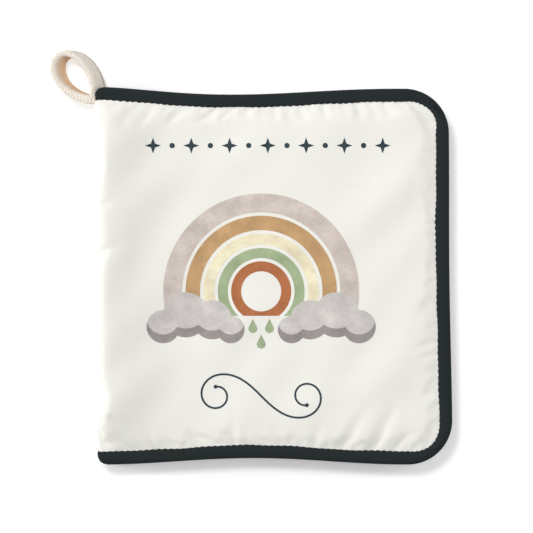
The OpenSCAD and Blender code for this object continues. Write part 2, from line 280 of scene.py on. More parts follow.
def joined(parts, name):
    """Joins pieces into the first of them, under one name."""
    deselect()
    for part in parts:
        part.select_set(True)
    bpy.context.view_layer.objects.active = parts[0]
    bpy.ops.object.join()
    parts[0].name = name
    return parts[0]


def deselect():
    if bpy.context.object and bpy.context.object.mode != "OBJECT":
        bpy.ops.object.mode_set(mode="OBJECT")
    bpy.ops.object.select_all(action="DESELECT")


def new_piece(name, vertices, faces, uvs=None):
    """A mesh object of these vertices, in millimetres, with one UV pair per vertex, in metres."""
    mesh = bpy.data.meshes.new(name)
    mesh.from_pydata((vertices * MM).tolist(), [], faces)
    if uvs is not None:
        layer = mesh.uv_layers.new(name="weave")
        corners = np.empty(len(mesh.loops), int)
        mesh.loops.foreach_get("vertex_index", corners)
        layer.data.foreach_set("uv", (np.asarray(uvs)[corners] * MM).ravel())
    mesh.polygons.foreach_set("use_smooth", [True] * len(mesh.polygons))
    mesh.update()
    made = bpy.data.objects.new(name, mesh)
    bpy.context.collection.objects.link(made)
    return made


def outwards(piece):
    """Merges doubled points and turns every face out."""
    shape = bmesh.new()
    shape.from_mesh(piece.data)
    bmesh.ops.remove_doubles(shape, verts=shape.verts, dist=0.001 * MM)
    bmesh.ops.recalc_face_normals(shape, faces=shape.faces)
    shape.to_mesh(piece.data)
    shape.free()


def swept(name, rings, uvs):
    """A closed bar through rings of points, each ring the same section, capped at both ends."""
    count, around = rings.shape[:2]
    faces = []
    for i in range(count - 1):
        for j in range(around):
            k = (j + 1) % around
            faces.append((i * around + j, (i + 1) * around + j, (i + 1) * around + k, i * around + k))
    faces.append(tuple(range(around)))
    faces.append(tuple(reversed(range((count - 1) * around, count * around))))
    piece = new_piece(name, rings.reshape(-1, 3), faces, uvs.reshape(-1, 2))
    outwards(piece)
    return piece


def add_material(piece, material):
    piece.data.materials.append(material)


# Materials


MATH, MIX = "ShaderNodeMath", "ShaderNodeMix"
NOISE, RANGE = "ShaderNodeTexNoise", "ShaderNodeMapRange"


def add_node(tree, kind, inputs=None, out=None, **settings):
    """Adds a node, sets its properties, and gives each named input its value or the socket it reads.
    Returns the node, or its output that out names."""
    made = tree.nodes.new(kind)
    for name, value in settings.items():
        setattr(made, name, value)
    for name, value in (inputs or {}).items():
        if isinstance(value, bpy.types.NodeSocket):
            tree.links.new(value, made.inputs[name])
        else:
            made.inputs[name].default_value = value
    return made if out is None else made.outputs[out]


def new_material(name):
    """A material with only its output and its shader."""
    material = bpy.data.materials.get(name)
    if material:
        return material, None, None
    material = bpy.data.materials.new(name)
    material.use_nodes = True
    tree = material.node_tree
    tree.nodes.clear()
    shader = add_node(tree, "ShaderNodeBsdfPrincipled")
    add_node(tree, "ShaderNodeOutputMaterial", {"Surface": shader.outputs[0]})
    return material, tree, shader


def surface_axes(tree, on_uv):
    """The place along and across a fabric, in metres: from its UV map, or from the object's own X and Y."""
    if on_uv:
        source = add_node(tree, "ShaderNodeUVMap", uv_map="weave").outputs[0]
    else:
        source = add_node(tree, "ShaderNodeTexCoord").outputs["Object"]
    split = add_node(tree, "ShaderNodeSeparateXYZ", {0: source})
    return source, split.outputs[0], split.outputs[1]


def ridges(tree, place, pitch):
    """Round ridges from 0 to 1, one every pitch metres."""
    turned = add_node(tree, MATH, {0: place, 1: 2 * math.pi / pitch}, 0, operation="MULTIPLY")
    wave = add_node(tree, MATH, {0: turned}, 0, operation="SINE")
    return add_node(tree, MATH, {0: wave, 1: 0.5, 2: 0.5}, 0, operation="MULTIPLY_ADD")


def darker(colour, share):
    return (*(c * share for c in colour[:3]), 1.0)


def dress(tree, shader, colour, height, strength, depth, roughness, specular, sheen=0.0):
    """Gives a fabric's shader its colour, its threads' relief, depth metres high, and its gloss."""
    bump = add_node(
        tree, "ShaderNodeBump", {"Height": height, "Strength": strength, "Distance": depth}
    )
    tree.links.new(colour, shader.inputs["Base Color"])
    tree.links.new(bump.outputs[0], shader.inputs["Normal"])
    shader.inputs["Roughness"].default_value = roughness
    shader.inputs["Specular IOR Level"].default_value = specular
    shader.inputs["Sheen Weight"].default_value = sheen


# Stage

# What the floor adds to its lit white to look pure white to the camera
FLOOR_GLOW = 0.29


class CLOTHBOOK_OT_stage(bpy.types.Operator):
    """Adds the floor, the soft lights and the camera straight above the book"""

    bl_idname = "clothbook.stage"
    bl_label = "Stage"

    def execute(self, context):
        deselect()
        bpy.ops.mesh.primitive_plane_add(size=4)
        floor = context.object
        floor.name = "floor"
        add_material(floor, floor_material())

        # The key gives the short drop shadow, the low light from the spine's side shows the folds,
        # and a weak one from the fore edge's side evens them out
        self.lamp((-0.42, 0.62, 2.0), size=0.42, energy=17.2)
        self.lamp((-1.9, 0.5, 0.56), size=0.7, energy=24.0)
        self.lamp((0.5, 0.06, 0.6), size=0.4, energy=1.35)

        world = bpy.data.worlds.new("studio")
        world.use_nodes = True
        world.node_tree.nodes["Background"].inputs["Color"].default_value = (1, 1, 1, 1)
        world.node_tree.nodes["Background"].inputs["Strength"].default_value = 0.3
        context.scene.world = world
        context.scene.view_settings.view_transform = "Standard"

        distance = 1.6
        bpy.ops.object.camera_add(
            location=(*PHOTO_CENTRE, distance + FRONT_Z * MM), rotation=(0, 0, 0)
        )
        camera = context.object
        camera.data.sensor_width = 36
        camera.data.lens = camera.data.sensor_width * distance / PHOTO_SPAN
        context.scene.camera = camera
        return {"FINISHED"}

    def lamp(self, place, size, energy):
        bpy.ops.object.light_add(type="AREA", location=place)
        lamp = bpy.context.object
        lamp.data.shape = "DISK"
        lamp.data.size = size
        lamp.data.energy = energy
        lamp.rotation_euler = (-lamp.location).to_track_quat("-Z", "Y").to_euler()


def floor_material():
    """A white paper sweep: it takes the book's shadow, and looks pure white to the camera."""
    material, tree, shader = new_material("white_paper_sweep")
    if tree:
        shader.inputs["Base Color"].default_value = srgb("#F7F7F7")
        shader.inputs["Roughness"].default_value = 0.9
        shader.inputs["Specular IOR Level"].default_value = 0.0
        ray = add_node(tree, "ShaderNodeLightPath")
        rays = {0: ray.outputs["Is Camera Ray"], 1: ray.outputs["Is Glossy Ray"]}
        seen = add_node(tree, MATH, rays, 0, operation="MAXIMUM")
        glow = add_node(tree, MATH, {0: seen, 1: FLOOR_GLOW}, 0, operation="MULTIPLY")
        shader.inputs["Emission Color"].default_value = (1, 1, 1, 1)
        tree.links.new(glow, shader.inputs["Emission Strength"])
    return material


# Fabrics


# The ribs are about 0.6 mm apart on the real cloth, and are drawn a little coarser to show
RIB_PITCH = 0.85 * MM


def ribbed_cloth():
    """Fine ribbed polyester suiting: it gives the eye soft horizontal ribs and a dry, matt off-white."""
    material, tree, shader = new_material("ribbed_off_white_cloth")
    if not tree:
        return material
    colour = tuple(colours().cloth)
    source, along, across = surface_axes(tree, on_uv=True)
    ribs = ridges(tree, across, RIB_PITCH)
    threads = ridges(tree, along, 0.7 * MM)
    slub = add_node(tree, NOISE, {"Vector": source, "Scale": 1 / (1.6 * MM), "Detail": 3}, "Fac")
    cloudy = add_node(tree, NOISE, {"Vector": source, "Scale": 1 / (30 * MM)}, "Fac")
    height = add_node(tree, MATH, {0: threads, 1: 0.25, 2: ribs}, 0, operation="MULTIPLY_ADD")
    height = add_node(tree, MATH, {0: slub, 1: 0.8, 2: height}, 0, operation="MULTIPLY_ADD")
    half_slub = add_node(tree, MATH, {0: slub, 1: 0.5}, 0, operation="MULTIPLY")
    tone = add_node(tree, MATH, {0: ribs, 1: 0.5, 2: half_slub}, 0, operation="MULTIPLY_ADD")
    tones = {"Factor": tone, "A": darker(colour, 0.96), "B": colour}
    cloth = add_node(tree, MIX, tones, "Result", data_type="RGBA")
    spread = {"Value": cloudy, "From Min": 0.3, "From Max": 0.8}
    clouds = add_node(tree, RANGE, spread, 0, clamp=True)
    tones = {"Factor": clouds, "A": cloth, "B": darker(colour, 0.985)}
    cloth = add_node(tree, MIX, tones, "Result", data_type="RGBA")
    dress(tree, shader, cloth, height, 0.28, 0.1 * MM, roughness=0.92, specular=0.2, sheen=0.08)
    return material


def plain_cotton():
    """Plain-woven white cotton: it gives the eye an even, fine crossed weave without shine."""
    material, tree, shader = new_material("plain_white_cotton")
    if not tree:
        return material
    colour = tuple(colours().lining)
    source, along, across = surface_axes(tree, on_uv=True)
    crossed = {0: ridges(tree, along, 0.6 * MM), 1: ridges(tree, across, 0.6 * MM)}
    weave = add_node(tree, MATH, crossed, 0, operation="MULTIPLY")
    slub = add_node(tree, NOISE, {"Vector": source, "Scale": 1 / (3 * MM)}, "Fac")
    tones = {"Factor": slub, "A": darker(colour, 0.95), "B": colour}
    cloth = add_node(tree, MIX, tones, "Result", data_type="RGBA")
    dress(tree, shader, cloth, weave, 0.3, 0.08 * MM, roughness=0.95, specular=0.2)
    return material


def binding_tape():
    """Dark woven binding tape: it gives the eye fine ribs across its width and a faint dusty sheen."""
    material, tree, shader = new_material("dark_slate_binding_tape")
    if not tree:
        return material
    colour = tuple(colours().binding)
    source, along, across = surface_axes(tree, on_uv=True)
    ribs = ridges(tree, along, 0.9 * MM)
    spots = {"Vector": source, "Scale": 1 / (0.8 * MM), "Detail": 4, "Roughness": 0.7}
    fuzz = add_node(tree, NOISE, spots, "Fac")
    height = add_node(tree, MATH, {0: ribs, 1: 0.6, 2: fuzz}, 0, operation="MULTIPLY_ADD")
    spread = {"Value": height, "From Min": 0.35, "From Max": 1.3}
    tone = add_node(tree, RANGE, spread, 0, clamp=True)
    tones = {"Factor": tone, "A": darker(colour, 0.72), "B": darker(colour, 1.35)}
    cloth = add_node(tree, MIX, tones, "Result", data_type="RGBA")
    dress(tree, shader, cloth, height, 0.5, 0.15 * MM, roughness=0.85, specular=0.25)
    return material


def herringbone_cotton():
    """Natural cotton herringbone tape: it gives the eye slanted ribs that turn at mid-width, in warm
    cream, and a tan painted on its inner side for the shade and warm bounce light that fall there."""
    material, tree, shader = new_material("natural_herringbone_cotton_tape")
    if not tree:
        return material
    # The tan is painted shade and warm bounce light for the loop's inner face; the yarn is cream all round
    colour, painted_shade_tan = tuple(colours().cotton), srgb("#FBD9B4")
    source, along, across = surface_axes(tree, on_uv=True)
    # Each band of ribs is 2 mm wide, and slants the other way from the next
    slant = add_node(tree, MATH, {0: across, 1: 2 * MM}, 0, operation="PINGPONG")
    slanted = add_node(tree, MATH, {0: along, 1: slant}, 0, operation="ADD")
    ribs = ridges(tree, slanted, 1.5 * MM)
    spots = {"Vector": source, "Scale": 1 / (0.7 * MM), "Detail": 4, "Roughness": 0.7}
    fuzz = add_node(tree, NOISE, spots, "Fac")
    height = add_node(tree, MATH, {0: fuzz, 1: 0.9, 2: ribs}, 0, operation="MULTIPLY_ADD")
    spread = {"Value": height, "From Min": 0.35, "From Max": 1.15}
    tone = add_node(tree, RANGE, spread, 0, clamp=True)
    tones = {"Factor": tone, "A": darker(colour, 0.84), "B": colour}
    cloth = add_node(tree, MIX, tones, "Result", data_type="RGBA")
    # Painted shade: a darker tan copy of the weave for the inner face
    tones = {"Factor": tone, "A": darker(painted_shade_tan, 0.85), "B": painted_shade_tan}
    painted_shade_inner_cloth = add_node(tree, MIX, tones, "Result", data_type="RGBA")
    # The inner face lies 13.5 to 17 mm round the section from the foot of the outer face, and the
    # painted shade on it fades out over the tape's edges on both sides
    fades = []
    for none, full in ((9.5, 13.5), (20.5, 17)):
        spread = {"Value": across, "From Min": none * MM, "From Max": full * MM}
        fades.append(add_node(tree, RANGE, spread, 0, clamp=True))
    inner = add_node(tree, MATH, {0: fades[0], 1: fades[1]}, 0, operation="MULTIPLY")
    # Painted shade: the tan takes over on the inner face
    faces = {"Factor": inner, "A": cloth, "B": painted_shade_inner_cloth}
    cloth = add_node(tree, MIX, faces, "Result", data_type="RGBA")
    dress(tree, shader, cloth, height, 0.8, 0.3 * MM, roughness=0.95, specular=0.2, sheen=0.1)
    return material


def sewing_thread():
    """Twisted polyester thread: it gives the eye a slightly brighter line with a soft gloss."""
    material, tree, shader = new_material("off_white_sewing_thread")
    if not tree:
        return material
    colour = tuple(colours().thread)
    _, along, across = surface_axes(tree, on_uv=False)
    slanted = add_node(tree, MATH, {0: across, 1: along}, 0, operation="ADD")
    tones = {"Factor": ridges(tree, slanted, 0.5 * MM), "A": darker(colour, 0.85), "B": colour}
    ply = add_node(tree, MIX, tones, "Result", data_type="RGBA")
    tree.links.new(ply, shader.inputs["Base Color"])
    shader.inputs["Roughness"].default_value = 0.6
    return material


def printed_ink(name, code):
    """Pigment print soaked into the cloth: it gives the eye a mottled, felt-like field with the cloth's
    ribs in it."""
    material, tree, shader = new_material("pigment_print_" + name)
    if not tree:
        return material
    colour = srgb(code)
    pale = tuple(min(1, c * 1.22 + 0.01) for c in colour[:3]) + (1.0,)
    source, _, across = surface_axes(tree, on_uv=False)
    ribs = ridges(tree, across, RIB_PITCH)
    blotch = add_node(tree, NOISE, {"Vector": source, "Scale": 1 / (7 * MM), "Detail": 3}, "Fac")
    spots = {"Vector": source, "Scale": 1 / (0.9 * MM), "Detail": 4, "Roughness": 0.75}
    fibre = add_node(tree, NOISE, spots, "Fac")
    half_fibre = add_node(tree, MATH, {0: fibre, 1: 0.5}, 0, operation="MULTIPLY")
    mottle = add_node(tree, MATH, {0: blotch, 1: 0.6, 2: half_fibre}, 0, operation="MULTIPLY_ADD")
    spread = {"Value": mottle, "From Min": 0.35, "From Max": 0.75}
    tone = add_node(tree, RANGE, spread, 0, clamp=True)
    tones = {"Factor": tone, "A": darker(colour, 0.82), "B": pale}
    ink = add_node(tree, MIX, tones, "Result", data_type="RGBA")
    height = add_node(tree, MATH, {0: fibre, 1: 0.8, 2: ribs}, 0, operation="MULTIPLY_ADD")
    dress(tree, shader, ink, height, 0.35, 0.1 * MM, roughness=0.95, specular=0.15)
    return material


# Quilted covers

# The quilt's outer side from the seam at the spine's middle up and over the spine's roll, down into the
# valley beside it and on over the cover's low crown: [x, height over the cover's middle plane], for a
# swell of 3 mm
ROLL = [
    (-78.9, -7.05), (-79.7, -5.2), (-80.05, -2.6), (-80.1, -0.3), (-79.7, 1.7), (-78.6, 3.4),
    (-76.8, 4.65), (-74.4, 5.0), (-71.0, 4.6), (-67.5, 4.0), (-64.0, 3.35), (-60.0, 2.65), (-55.5, 2.05),
    (-50.5, 1.55), (-44.5, 1.25), (-37.0, 1.2), (-28.0, 1.35), (-15.0, 1.7), (0.0, 2.05), (18.0, 2.3),
    (36.0, 2.3), (54.0, 1.95), (70.0, 1.35),
]
ROLL_SWELL = 3.0
ARC = SQUEEZED_HALF * math.pi / 2


def smooth_line(points, count=240):
    """A soft line through points, with its length along it."""
    points = np.asarray(points, float)
    padded = np.concatenate([[2 * points[0] - points[1]], points, [2 * points[-1] - points[-2]]])
    line = []
    for a, b, c, d in zip(padded[:-3], padded[1:-2], padded[2:-1], padded[3:]):
        for t in np.linspace(0, 1, count // len(points), endpoint=False):
            line.append(
                b + 0.5 * t * (c - a + t * (2 * a - 5 * b + 4 * c - d + t * (3 * (b - c) + d - a)))
            )
    line.append(points[-1])
    line = np.array(line)
    return line, np.concatenate([[0], np.cumsum(np.linalg.norm(np.diff(line, axis=0), axis=1))])


def flat_outer(s):
    """The squeezed quilt's outer side at a length from the seam: up the spine, round the fold, then flat."""
    turn = np.clip((s - SEAM_DROP) / SQUEEZED_HALF, 0, math.pi / 2)
    over = np.maximum(s - SEAM_DROP - ARC, 0)
    x = HINGE_X - SQUEEZED_HALF * np.cos(turn) + over
    z = np.where(s < SEAM_DROP, s - SEAM_DROP, SQUEEZED_HALF * np.sin(turn))
    return x, z


def puffed_outer(s, swell):
    """The same at full swell: the spine's roll, a shallow valley beside it, and the low crown."""
    roll = np.array(ROLL)
    roll[:, 1] = np.where(
        roll[:, 1] > SQUEEZED_HALF,
        SQUEEZED_HALF + (roll[:, 1] - SQUEEZED_HALF) * swell / ROLL_SWELL,
        roll[:, 1],
    )
    line, lengths = smooth_line(roll)
    flat_from = roll[-1][0] - HINGE_X + SEAM_DROP + ARC
    place = s * lengths[-1] / flat_from
    x = np.where(s < flat_from, np.interp(place, lengths, line[:, 0]), roll[-1][0] + s - flat_from)
    z = np.where(s < flat_from, np.interp(place, lengths, line[:, 1]), roll[-1][1])
    return x, z


def inner_side(s, swell, rise):
    """The lining side: up the spine's inner face, then along under the cover."""
    flat_from = ROLL[-1][0] - HINGE_X + SEAM_DROP + ARC
    inner_x = HINGE_X + SQUEEZED_HALF
    up = np.clip(s / SEAM_DROP, 0, 1)
    over = np.clip((s - SEAM_DROP) / (flat_from - SEAM_DROP), 0, 1)
    x = inner_x + (ROLL[-1][0] - inner_x) * over + np.maximum(s - flat_from, 0)
    from_spine = np.sin(math.pi / 2 * np.clip((x - inner_x - 1) / 13, 0, 1))
    z = -SEAM_DROP + (SEAM_DROP - SQUEEZED_HALF) * up - swell * rise * from_spine
    return x, z


# The deeper folds that the front shows, each [place along the edge, half width, length, depth, lean]:
# by the head, round the lower corner, and by the tail
DEEP_FOLDS = [
    (51.5, 1.8, 13, 0.42, 0.1), (60.5, 1.6, 11, 0.4, 0.15), (67.5, 1.4, 9, 0.3, 0.1),
    (73.5, 1.4, 10, 0.3, 0.15), (79.5, 1.5, 11, 0.35, 0.2), (90, 1.8, 12, 0.35, 0.2),
    (99.5, 1.6, 10, 0.32, 0.2), (105, 1.4, 9, 0.3, 0.2),
    (114.7, 1.7, 13, 0.35, 0.25), (121.5, 1.3, 11, 0.38, 0.25), (128, 1.5, 10, 0.3, 0.2),
    (318, 1.7, 12, 0.4, -0.7), (336.5, 1.7, 11, 0.5, -0.9), (346.5, 3.6, 30, 0.75, -0.55),
    (359.5, 3.4, 27, 0.65, -0.55), (373, 2.6, 16, 0.4, -0.4),
    (390, 2.4, 14, 0.3, -0.3), (407.3, 1.9, 18, 0.55, -0.12), (421, 2.2, 12, 0.28, 0.1),
    (441.5, 2.2, 15, 0.5, 0.25),
]


def folds_along(total, rng, deep):
    """Small folds at random along the bound edge, after the deep ones."""
    folds = list(deep)
    at = 4.0
    while at < total - 4:
        half_width, length = rng.uniform(0.9, 1.7), rng.uniform(4, 9)
        folds.append((at, half_width, length, rng.uniform(0.1, 0.32), rng.uniform(-0.3, 0.3)))
        at += rng.uniform(4.0, 8.5)
    return folds


def gathers(within, place, x, y, seed):
    """Short folds square to the binding, a small tuck at every stitch, and slow waves in the quilt's
    middle, as a height in millimetres."""
    rng = np.random.default_rng(seed)
    stitch = sizes().stitch / MM
    height = np.zeros_like(within)
    folds = folds_along(place.max(), rng, DEEP_FOLDS if seed == 1 else [])
    for at, half_width, length, deep, lean in folds:
        across = (place - at - lean * within) / (half_width * (1 + 0.5 * np.clip(within / length, 0, 1)))
        run = np.clip(within / length, 0, 1)
        fade = (1 - run) ** 2 * (1 + 2 * run) * np.clip(within / 2 + 0.6, 0, 1)
        height -= deep * (1 - 1.4 * across**2) * np.exp(-(across**2)) * fade
    tucks = 0.5 + 0.5 * np.cos(2 * math.pi * place / stitch)
    height -= 0.2 * tucks * np.exp(-np.maximum(within, 0) / 2.0)
    middle = np.clip(within / 14, 0, 1)
    for _ in range(9):
        angle, length = rng.uniform(0.2, 1.4), rng.uniform(20, 55)
        wave = (x * math.sin(angle) - y * math.cos(angle)) * 2 * math.pi / length
        bend = 0.9 * np.sin((x * math.cos(angle) + y * math.sin(angle)) / 23 + rng.uniform(0, 6.28))
        height += 0.11 * middle * np.sin(wave + bend + rng.uniform(0, 6.28))
    return height


def roll_crease(x, y):
    """Where a short slanting crease crosses the front's roll at the spine: 1 along its middle, 0 away
    from it."""
    along = (x + 74) * 0.88 + (y - 10.5) * 0.47
    across = (y - 10.5) * 0.88 - (x + 74) * 0.47
    return np.exp(-((along / 8) ** 2) - (across / 3.2) ** 2)


def quilt(name, centre_z, side, swell_out, swell_in, seed):
    """One cover's quilt and its half of the spine, as a closed padded form. side is 1 with the outer
    face up and -1 with it down."""
    s_sizes = sizes()
    cell = s_sizes.cloth_cell / MM
    length = SEAM_DROP + ARC + FORE_X - HINGE_X
    columns = round(length / cell) + 1
    rows = round(2 * HALF_HEIGHT / cell) + 1
    s, y = np.meshgrid(
        np.linspace(0, length, columns), np.linspace(-HALF_HEIGHT, HALF_HEIGHT, rows), indexing="ij"
    )
    flat_x, flat_z = flat_outer(s)
    turn = math.pi / 2 - np.clip((s - SEAM_DROP) / SQUEEZED_HALF, 0, math.pi / 2)
    within, depth, place = edge_places(flat_x, y, turn)
    # The padding is thinner along the fore edge, so the slope there is shorter, and longer by the tail
    fore = np.clip((flat_x - FORE_X + 20) / 10, 0, 1) * np.clip((HALF_HEIGHT - 10 - np.abs(y)) / 15, 0, 1)
    slope = (s_sizes.slope_width / MM + 1) * (1 - 0.5 * fore + 0.8 * np.clip((-y - 35) / 20, 0, 1))
    rise = np.sin(math.pi / 2 * np.clip((within + 0.5) / slope, 0, 1))
    puff_x, puff_z = puffed_outer(s, swell_out)
    if side > 0:
        rise *= 1 - 0.16 * roll_crease(flat_x, y)
    else:
        # The book's weight presses the back flat on the table
        pressed = np.clip((flat_x - HINGE_X - 4) / 12, 0, 1)
        puff_z = puff_z + pressed * np.maximum(SQUEEZED_HALF + swell_out - puff_z, 0)
    x = flat_x + (puff_x - flat_x) * rise
    z = flat_z + (puff_z - flat_z) * rise
    on_cover = np.clip((flat_x - HINGE_X - 1) / 6, 0, 1)
    z += gathers(within, place, flat_x, y, seed) * on_cover * min(1, swell_out / 2) * (within > -1)
    outer = np.stack([x, y, z], -1)
    in_x, in_z = inner_side(s, swell_in, rise)
    inner = np.stack([in_x, y, in_z], -1)

    kept = depth > 1.2
    outer = settle_cloth(name, outer, kept, (within < 0.3) | (s < 2.5), swell_out)
    if side < 0:
        outer[..., 2] = np.minimum(outer[..., 2], SQUEEZED_HALF + swell_out)
    return closed_form(name, [outer, inner], kept, np.stack([s, y], -1), centre_z, side)


def grid_faces(kept):
    """The faces of a grid's kept part, each by the numbers of its four corners among the kept points."""
    index = -np.ones(kept.shape, int)
    index[kept] = np.arange(kept.sum())
    cells = kept[:-1, :-1] & kept[1:, :-1] & kept[1:, 1:] & kept[:-1, 1:]
    corners = (index[:-1, :-1], index[1:, :-1], index[1:, 1:], index[:-1, 1:])
    return list(zip(*(corner[cells].tolist() for corner in corners)))


def closed_form(name, sheets, kept, uv, centre_z, side):
    """Joins an outer and an inner sheet of one grid along the kept part's edge."""
    count = int(kept.sum())
    vertices = np.concatenate([sheet[kept] for sheet in sheets])
    vertices[:, 2] = centre_z + side * vertices[:, 2]
    vertices = sway(vertices)
    faces = grid_faces(kept)
    linings, rims = [], {}
    for a, b, c, d in faces:
        linings.append((d + count, c + count, b + count, a + count))
        for p, q in ((a, b), (b, c), (c, d), (d, a)):
            if (q, p) in rims:
                del rims[(q, p)]
            else:
                rims[(p, q)] = True
    sides = [(q, p, p + count, q + count) for p, q in rims]
    every = faces + linings + sides
    if side < 0:
        every = [tuple(reversed(f)) for f in every]
    piece = new_piece(name, vertices, every, np.concatenate([uv[kept], uv[kept]]))
    add_material(piece, ribbed_cloth())
    add_material(piece, plain_cotton())
    slots = [0] * len(faces) + [1] * len(linings) + [0] * len(sides)
    piece.data.polygons.foreach_set("material_index", slots)
    tidy = bmesh.new()
    tidy.from_mesh(piece.data)
    bmesh.ops.delete(tidy, geom=[v for v in tidy.verts if not v.link_faces], context="VERTS")
    tidy.to_mesh(piece.data)
    tidy.free()
    return piece


# The simulation works on the cloth at ten times its size, where its forces are well behaved
CLOTH_SCALE = 10
SETTLE_FRAMES = 18
# How far it may move a point, in millimetres
SETTLE_CAP = 0.9


def settle_cloth(name, sheet, kept, held, swell):
    """Blows the outer cloth up a little over its wadding in a cloth simulation, held under the binding
    and at the seam, so that its folds run into each other as real ones do."""
    start = sheet[kept]
    cloth = new_piece(name + "_cloth", start, grid_faces(kept))
    cloth.data.transform(Matrix.Diagonal((CLOTH_SCALE, CLOTH_SCALE, CLOTH_SCALE, 1)))
    pins = cloth.vertex_groups.new(name="held")
    for i in np.nonzero(held[kept])[0]:
        pins.add([int(i)], 1.0, "REPLACE")
    modifier = cloth.modifiers.new("Cloth", "CLOTH")
    settings = modifier.settings
    settings.quality = 5
    settings.mass = 0.2
    settings.tension_stiffness = 20
    settings.compression_stiffness = 20
    settings.shear_stiffness = 5
    settings.bending_stiffness = 0.4
    settings.vertex_group_mass = "held"
    settings.shrink_min = -0.012
    settings.use_pressure = True
    settings.uniform_pressure_force = 0.6 * swell / 3
    settings.effector_weights.gravity = 0
    modifier.collision_settings.use_collision = False
    scene = bpy.context.scene
    for step in range(1, SETTLE_FRAMES + 1):
        scene.frame_set(step)
    solved = cloth.evaluated_get(bpy.context.evaluated_depsgraph_get()).data
    moved = np.empty(len(solved.vertices) * 3)
    solved.vertices.foreach_get("co", moved)
    moved = moved.reshape(-1, 3) / (CLOTH_SCALE * MM)
    scene.frame_set(1)
    bpy.data.objects.remove(cloth, do_unlink=True)
    shift = moved - start
    far = np.linalg.norm(shift, axis=1)[:, None]
    result = sheet.copy()
    result[kept] = start + shift * np.minimum(1, SETTLE_CAP / np.maximum(far, 1e-9))
    return result


class CLOTHBOOK_OT_quilts(bpy.types.Operator):
    """Adds the quilted covers, each with its half of the padded spine"""

    bl_idname = "clothbook.quilts"
    bl_label = "Quilted covers"

    def execute(self, context):
        deselect()
        front = quilt("front_quilt", FRONT_Z, 1, 3.0, 0.6, seed=1)
        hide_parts("front_cloth", "front_wadding", "front_lining")
        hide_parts("spine_cloth", "spine_wadding", "spine_lining")
        bend_at_hinge(front)
        back = quilt("back_quilt", BACK_Z, -1, 1.2, 2.2, seed=2)
        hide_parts("back_cloth", "back_wadding", "back_lining")
        bend_at_hinge(back)
        return {"FINISHED"}


def bend_at_hinge(piece):
    """Bakes the piece's placing into its mesh."""
    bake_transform(piece)


# Binding


def tape_section(width, edge_height):
    """Half of the folded tape's section, from its inner edge round to the fold's middle:
    [inset, height] in millimetres."""
    return [
        (width, SQUEEZED_HALF + 0.02), (width, edge_height), (width - 0.4, edge_height + 0.2),
        (width - 1.3, 1.56), (width - 2.6, 1.62), (2.2, 1.62), (1.2, 1.5), (0.5, 1.15), (0.12, 0.6),
        (0.0, 0.0),
    ]


def tape_stations(stitch):
    """Stations along the tape: [place, point in plan, inwards, turn about the hinge, height on the spine]."""
    step = stitch / 5
    places, points, inwards = bound_edge(step)
    climb = np.arange(0, SEAM_DROP, step)
    # The tape's length round the fold, from the spine up to the cover
    fold = 2.4
    stations = []
    for end in (0, -1):
        side = 1 if end == 0 else -1
        point, inward = np.array([HINGE_X, side * HALF_HEIGHT]), np.array([0.0, -side])
        limb = [(h - SEAM_DROP - fold, point, inward, 90.0, h - SEAM_DROP) for h in climb]
        limb += [(-fold * turn / 90, point, inward, turn, 0.0) for turn in np.arange(90.0, 0, -15)]
        if end == 0:
            stations += limb
            stations += [(b, p, n, 0.0, 0.0) for b, p, n in zip(places, points, inwards)]
        else:
            stations += [(places[-1] - b, p, n, t, h) for b, p, n, t, h in reversed(limb)]
    return stations


def binding_piece(name, centre_z, side):
    """The tape folded over one cover's edge, from the spine's middle at the head round to its middle
    at the tail, drawn in at every stitch of its inner edge."""
    stitch = sizes().stitch / MM
    width = sizes().tape_width / MM
    rng = np.random.default_rng(7 if side > 0 else 8)
    phases = rng.uniform(0, 6.28, 4)
    rings, uvs = [], []
    for b, point, inward, turn, drop in tape_stations(stitch):
        between = abs(math.sin(math.pi * b / stitch))
        wander = sum(math.sin(b / reach + phase) for reach, phase in zip((3.1, 5.3, 9.7, 17), phases))
        edge = float(tape_reach(inward)) - 0.15 + 0.3 * between * (1 + 0.2 * wander) + 0.06 * wander
        half = tape_section(edge, 1.02 + 0.3 * between**0.7)
        section = half + [(i, -h) for i, h in reversed(half[:-1])]
        section += [(0.7, -SQUEEZED_HALF - 0.02), (0.7, SQUEEZED_HALF + 0.02)]
        lean = math.radians(turn)
        end = 1 if point[1] > 0 else -1
        drawn_in = float(end_round(end, point[0] - HINGE_X, lean))
        ring, uv, run = [], [], 0.0
        for k, (inset, height) in enumerate(section):
            if k:
                run += math.dist(section[k], section[k - 1])
            inset = drawn_in + inset * (1 - drawn_in / width)
            x = point[0] + inward[0] * inset - math.sin(lean) * height
            z = math.cos(lean) * height + drop
            if turn > 0 and height < 0:
                x = max(HINGE_X - math.sin(lean) * height, HINGE_X)
                x, z = min(x, HINGE_X + TAPE_HALF), min(z, -TAPE_HALF) if drop == 0 else z
            ring.append((x, point[1] + inward[1] * inset, centre_z + side * z))
            uv.append((b, run))
        rings.append(ring)
        uvs.append(uv)
    swayed = sway(np.array(rings).reshape(-1, 3)).reshape(len(rings), -1, 3)
    return swept(name, swayed, np.array(uvs))


class CLOTHBOOK_OT_bindings(bpy.types.Operator):
    """Adds the dark tape round the covers' edges"""

    bl_idname = "clothbook.bindings"
    bl_label = "Bindings"

    def execute(self, context):
        deselect()
        front = binding_piece("front_tape", FRONT_Z, 1)
        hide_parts("front_binding", "spine_binding_head", "spine_binding_tail")
        bend_at_hinge(front)
        back = binding_piece("back_tape", BACK_Z, -1)
        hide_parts("back_binding")
        bend_at_hinge(back)
        for piece in (front, back):
            add_material(piece, binding_tape())
        return {"FINISHED"}


# Leaves and spine


